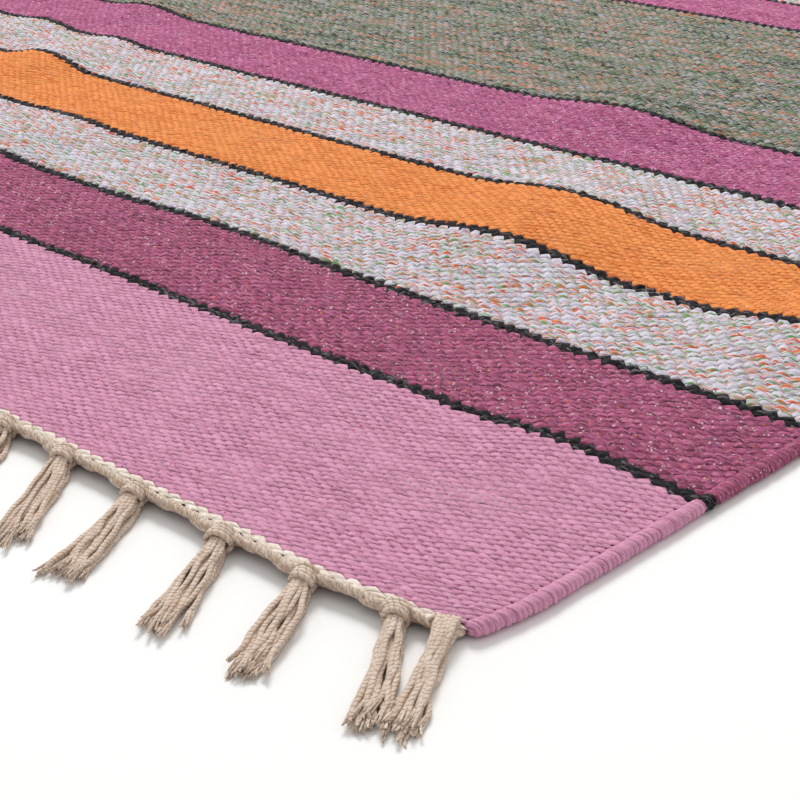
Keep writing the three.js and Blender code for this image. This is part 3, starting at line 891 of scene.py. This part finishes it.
ply_off = reckon(tree, "MULTIPLY", reckon(tree, "SUBTRACT", ply_turn, 0.5), 2.0)
ply_height = reckon(tree, "SUBTRACT", 1.0, reckon(tree, "POWER", reckon(tree, "ABSOLUTE", ply_off), 3.0))
tone = cloud_of(tree, reckon(tree, "MULTIPLY", u, 0.26), 0.0, 3)
fibre = cloud_of(tree, reckon(tree, "MULTIPLY", u, 2.2), reckon(tree, "MULTIPLY", lay, 9.0), 3)
dark = spread(tree, tone, 0.3, 0.7, 0.0, 1.0)
colour = mixed(tree, "MIX", dark, linear(COTTON_LIGHT), linear(COTTON_DARK))
colour = mixed(tree, "MIX", spread(tree, fibre, 0.3, 0.55, 0.35, 0.0), colour, linear(COTTON_FIBRE))
# Painted shade: the grooves between the twisted plies are darkened towards the groove shade colour.
colour = mixed(tree, "MIX", spread(tree, ply_height, 0.0, 0.95, 0.36, 0.0), colour, linear(COTTON_GROOVE_SHADE))
# Painted shade: the yarn's sides and underside, away from its top, are darkened towards the shade colour.
off_top = reckon(tree, "ABSOLUTE", reckon(tree, "SUBTRACT", v, 0.25))
off_top = reckon(tree, "MINIMUM", off_top, reckon(tree, "SUBTRACT", 1.0, off_top))
colour = mixed(tree, "MIX", spread(tree, off_top, 0.1, 0.3, 0.0, 0.26), colour, linear(COTTON_SHADE))
tree.links.new(colour, shader.inputs["Base Color"])
tree.links.new(reckon(tree, "MULTIPLY_ADD", tone, 0.15, 0.8), shader.inputs["Roughness"])
shader.inputs["Specular IOR Level"].default_value = 0.15
shader.inputs["Sheen Weight"].default_value = 0.2
shader.inputs["Sheen Roughness"].default_value = 0.5
bump = tree.nodes.new("ShaderNodeBump")
bump.inputs["Distance"].default_value = COTTON_BUMP
relief = reckon(tree, "MULTIPLY_ADD", fibre, 0.9, ply_height)
tree.links.new(relief, bump.inputs["Height"])
tree.links.new(bump.outputs["Normal"], shader.inputs["Normal"])

fringe_parts = []
places = [row["at"] * MM for row in tassels]
for order, row in enumerate(tassels):
    before = places[order - 1] if order else 0.0
    after = places[order + 1] if order + 1 < len(places) else WIDTH
    to_right = (places[order] - before) / 2
    to_left = (after - places[order]) / 2
    fringe_parts += tassel(row, to_left, to_right)


def edge_rope():
    """The yarns twisted together along the heading's edge, which swell out a little at the knots."""
    end = WIDTH / 2 - EDGE_ROPE["inset"]
    place = np.linspace(-end, end, EDGE_ROPE["stations"])
    x, y, z = lie(place, np.full_like(place, -LENGTH / 2))
    knots = WIDTH / 2 - np.array(places)
    nearest = np.abs(place[:, None] - knots).min(axis=1)
    y = y - HEADING_PICKS * FINE_STEP - EDGE_ROPE["out"]
    y = y - EDGE_ROPE["swell"] * np.exp(-((nearest / EDGE_ROPE["swell_reach"]) ** 2))
    strands = []
    for order in range(EDGE_ROPE["strands"]):
        turn = place / EDGE_ROPE["pitch"] * math.tau + order * math.tau / EDGE_ROPE["strands"]
        lift = z + EDGE_ROPE["height"] + EDGE_ROPE["coil"] * np.sin(turn)
        strands.append(np.stack([x, y + EDGE_ROPE["coil"] * np.cos(turn), lift], axis=1))
    strands = np.stack(strands)
    return tubes(strands, np.full(strands.shape[:2], EDGE_ROPE["radius"]), YARN_SIDES)


fringe_parts.append(edge_rope())
for end, turned in (("near", 1), ("far", -1)):
    parts = [(points * (turned, turned, 1), triangles, yarn) for points, triangles, yarn in fringe_parts]
    fringe = piece_of(f"tassels_{end}", parts, "yarn", cotton)
    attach(fringe, "root")
    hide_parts(f"fringe_{end}")

# The lint. The charcoal yarn is the roughest spun, and use brushes up loose hairs of it, which stand out
# of the pinstripes and lie over the yarns beside them.
LINT_PER_CHANGE = 120
LINT_RADII = np.array([0.24, 0.22, 0.12]) * MM
LINT_ROOT = 5.0 * MM
LINT_SIDES = 3
brush = np.random.default_rng(31)
lint_pick = np.repeat(pinstripe_starts, LINT_PER_CHANGE)
lint_pick = lint_pick + brush.integers(0, PINSTRIPE_PICKS, len(lint_pick))
lint_column = brush.uniform(0, WARPS, len(lint_pick))
roots = woven(np.round(lint_column).astype(int), lint_pick, lint_column, LINT_ROOT)
bearing = brush.uniform(0, math.tau, len(roots))
course = np.stack([0.7 * np.cos(bearing), np.sin(bearing), np.zeros_like(bearing)], axis=1)
course *= brush.uniform(1.5, 4.0, (len(roots), 1)) * MM
rise = brush.uniform(0.5, 1.3, (len(roots), 2)) * MM
middles = roots + 0.5 * course + rise[:, :1] * (0, 0, 1)
tips = roots + course + rise[:, 1:] * (0, 0, 1)
hairs = np.stack([roots, middles, tips], axis=1)
points, triangles, _ = tubes(hairs, np.tile(LINT_RADII, (len(roots), 1)), LINT_SIDES, twisted=False)
weave = np.repeat(np.stack([lint_column, lint_pick], axis=1), len(points) // len(roots), axis=0)
lint = piece_of("pinstripe_lint", [(points, triangles, weave)], "weave", finishes["charcoal"])
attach(lint, "root")
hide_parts("kilim_cloth")
